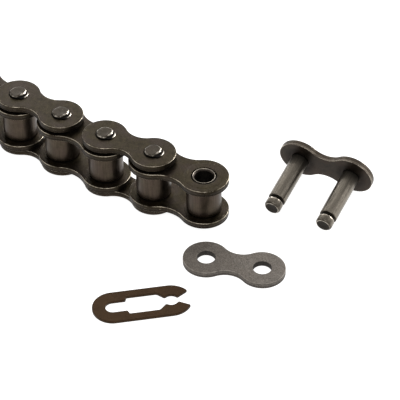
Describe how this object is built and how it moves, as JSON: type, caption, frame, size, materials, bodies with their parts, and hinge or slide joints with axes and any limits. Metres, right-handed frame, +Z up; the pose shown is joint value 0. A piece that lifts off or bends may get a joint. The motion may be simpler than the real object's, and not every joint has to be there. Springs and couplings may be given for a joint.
{
  "type": "motorcycle drive chain",
  "caption": "Run of motorcycle roller chain laid on its side, with its loose connecting link, cover plate and spring clip beside it.",
  "frame": {"origin": "bottom centre of the bounding box, on the surface that the chain lies on", "axes": "+Z up, along the chain's pins; +X along the chain towards the end that has the loose connecting link beside it; +Y across the chain, towards the connecting link"},
  "size_m": [0.185, 0.085, 0.0193],
  "materials": {
    "plate_steel": "dark heat-treated steel, oiled, satin",
    "roller_steel": "dark heat-treated steel, satin",
    "bushing_steel": "ground steel, satin",
    "pin_steel": "ground and hardened steel, satin",
    "connecting_steel": "dark heat-treated steel, satin",
    "cover_steel": "tumbled grey-brown steel, fine matt grain",
    "clip_steel": "brown oxidised spring steel, satin"
  },
  "bodies": {
    "inner_link_1": {"inner_plate_bottom_1": "plate_steel", "inner_plate_top_1": "plate_steel", "bushing_1": "bushing_steel", "bushing_2": "bushing_steel"},
    "roller_1": {"roller_1": "roller_steel"},
    "roller_2": {"roller_2": "roller_steel"},
    "outer_link_1": {"outer_plate_bottom_1": "plate_steel", "outer_plate_top_1": "plate_steel", "rivet_pin_1": "pin_steel", "rivet_pin_2": "pin_steel"},
    "inner_link_2": {"inner_plate_bottom_2": "plate_steel", "inner_plate_top_2": "plate_steel", "bushing_3": "bushing_steel", "bushing_4": "bushing_steel"},
    "roller_3": {"roller_3": "roller_steel"},
    "roller_4": {"roller_4": "roller_steel"},
    "outer_link_2": {"outer_plate_bottom_2": "plate_steel", "outer_plate_top_2": "plate_steel", "rivet_pin_3": "pin_steel", "rivet_pin_4": "pin_steel"},
    "inner_link_3": {"inner_plate_bottom_3": "plate_steel", "inner_plate_top_3": "plate_steel", "bushing_5": "bushing_steel", "bushing_6": "bushing_steel"},
    "roller_5": {"roller_5": "roller_steel"},
    "roller_6": {"roller_6": "roller_steel"},
    "outer_link_3": {"outer_plate_bottom_3": "plate_steel", "outer_plate_top_3": "plate_steel", "rivet_pin_5": "pin_steel", "rivet_pin_6": "pin_steel"},
    "inner_link_4": {"inner_plate_bottom_4": "plate_steel", "inner_plate_top_4": "plate_steel", "bushing_7": "bushing_steel", "bushing_8": "bushing_steel"},
    "roller_7": {"roller_7": "roller_steel"},
    "roller_8": {"roller_8": "roller_steel"},
    "outer_link_4": {"outer_plate_bottom_4": "plate_steel", "outer_plate_top_4": "plate_steel", "rivet_pin_7": "pin_steel", "rivet_pin_8": "pin_steel"},
    "inner_link_5": {"inner_plate_bottom_5": "plate_steel", "inner_plate_top_5": "plate_steel", "bushing_9": "bushing_steel", "bushing_10": "bushing_steel"},
    "roller_9": {"roller_9": "roller_steel"},
    "roller_10": {"roller_10": "roller_steel"},
    "connecting_link": {"connecting_plate": "connecting_steel", "connecting_pin_1": "pin_steel", "connecting_pin_2": "pin_steel"},
    "cover_plate": {"cover_plate": "cover_steel"},
    "spring_clip": {"spring_clip": "clip_steel"}
  },
  "joints": [
    {"name": "pin_1_hinge", "type": "hinge", "parent": "inner_link_1", "child": "outer_link_1", "pos_m": [0.04144, 0.00534, 0], "axis": [0, 0, 1], "range_deg": [-29.2, 34.8]},
    {"name": "pin_2_hinge", "type": "hinge", "parent": "outer_link_1", "child": "inner_link_2", "pos_m": [0.02559, 0.00453, 0], "axis": [0, 0, 1], "range_deg": [-26.5, 37.5]},
    {"name": "pin_3_hinge", "type": "hinge", "parent": "inner_link_2", "child": "outer_link_2", "pos_m": [0.00973, 0.00525, 0], "axis": [0, 0, 1], "range_deg": [-31.4, 32.6]},
    {"name": "pin_4_hinge", "type": "hinge", "parent": "outer_link_2", "child": "inner_link_3", "pos_m": [-0.00612, 0.00614, 0], "axis": [0, 0, 1], "range_deg": [-32, 32]},
    {"name": "pin_5_hinge", "type": "hinge", "parent": "inner_link_3", "child": "outer_link_3", "pos_m": [-0.02197, 0.00702, 0], "axis": [0, 0, 1], "range_deg": [-32, 32]},
    {"name": "pin_6_hinge", "type": "hinge", "parent": "outer_link_3", "child": "inner_link_4", "pos_m": [-0.03782, 0.00791, 0], "axis": [0, 0, 1], "range_deg": [-32, 32]},
    {"name": "pin_7_hinge", "type": "hinge", "parent": "inner_link_4", "child": "outer_link_4", "pos_m": [-0.05367, 0.0088, 0], "axis": [0, 0, 1], "range_deg": [-32, 32]},
    {"name": "pin_8_hinge", "type": "hinge", "parent": "outer_link_4", "child": "inner_link_5", "pos_m": [-0.06952, 0.00968, 0], "axis": [0, 0, 1], "range_deg": [-32, 32]},
    {"name": "roller_1_spin", "type": "hinge", "parent": "inner_link_1", "child": "roller_1", "pos_m": [0.05724, 0.00691, 0], "axis": [0, 0, 1], "continuous": true},
    {"name": "roller_2_spin", "type": "hinge", "parent": "inner_link_1", "child": "roller_2", "pos_m": [0.04144, 0.00534, 0], "axis": [0, 0, 1], "continuous": true},
    {"name": "roller_3_spin", "type": "hinge", "parent": "inner_link_2", "child": "roller_3", "pos_m": [0.02559, 0.00453, 0], "axis": [0, 0, 1], "continuous": true},
    {"name": "roller_4_spin", "type": "hinge", "parent": "inner_link_2", "child": "roller_4", "pos_m": [0.00973, 0.00525, 0], "axis": [0, 0, 1], "continuous": true},
    {"name": "roller_5_spin", "type": "hinge", "parent": "inner_link_3", "child": "roller_5", "pos_m": [-0.00612, 0.00614, 0], "axis": [0, 0, 1], "continuous": true},
    {"name": "roller_6_spin", "type": "hinge", "parent": "inner_link_3", "child": "roller_6", "pos_m": [-0.02197, 0.00702, 0], "axis": [0, 0, 1], "continuous": true},
    {"name": "roller_7_spin", "type": "hinge", "parent": "inner_link_4", "child": "roller_7", "pos_m": [-0.03782, 0.00791, 0], "axis": [0, 0, 1], "continuous": true},
    {"name": "roller_8_spin", "type": "hinge", "parent": "inner_link_4", "child": "roller_8", "pos_m": [-0.05367, 0.0088, 0], "axis": [0, 0, 1], "continuous": true},
    {"name": "roller_9_spin", "type": "hinge", "parent": "inner_link_5", "child": "roller_9", "pos_m": [-0.06952, 0.00968, 0], "axis": [0, 0, 1], "continuous": true},
    {"name": "roller_10_spin", "type": "hinge", "parent": "inner_link_5", "child": "roller_10", "pos_m": [-0.08537, 0.01057, 0], "axis": [0, 0, 1], "continuous": true},
    {"name": "connecting_link_lift", "type": "slide", "parent": "inner_link_1", "child": "connecting_link", "axis": [0, 0, -1], "range_m": [-0.05, 0]},
    {"name": "cover_plate_lift", "type": "slide", "parent": "inner_link_1", "child": "cover_plate", "axis": [0, 0, 1], "range_m": [0, 0.05]},
    {"name": "spring_clip_lift", "type": "slide", "parent": "inner_link_1", "child": "spring_clip", "axis": [0, 0, 1], "range_m": [0, 0.05]}
  ]
}
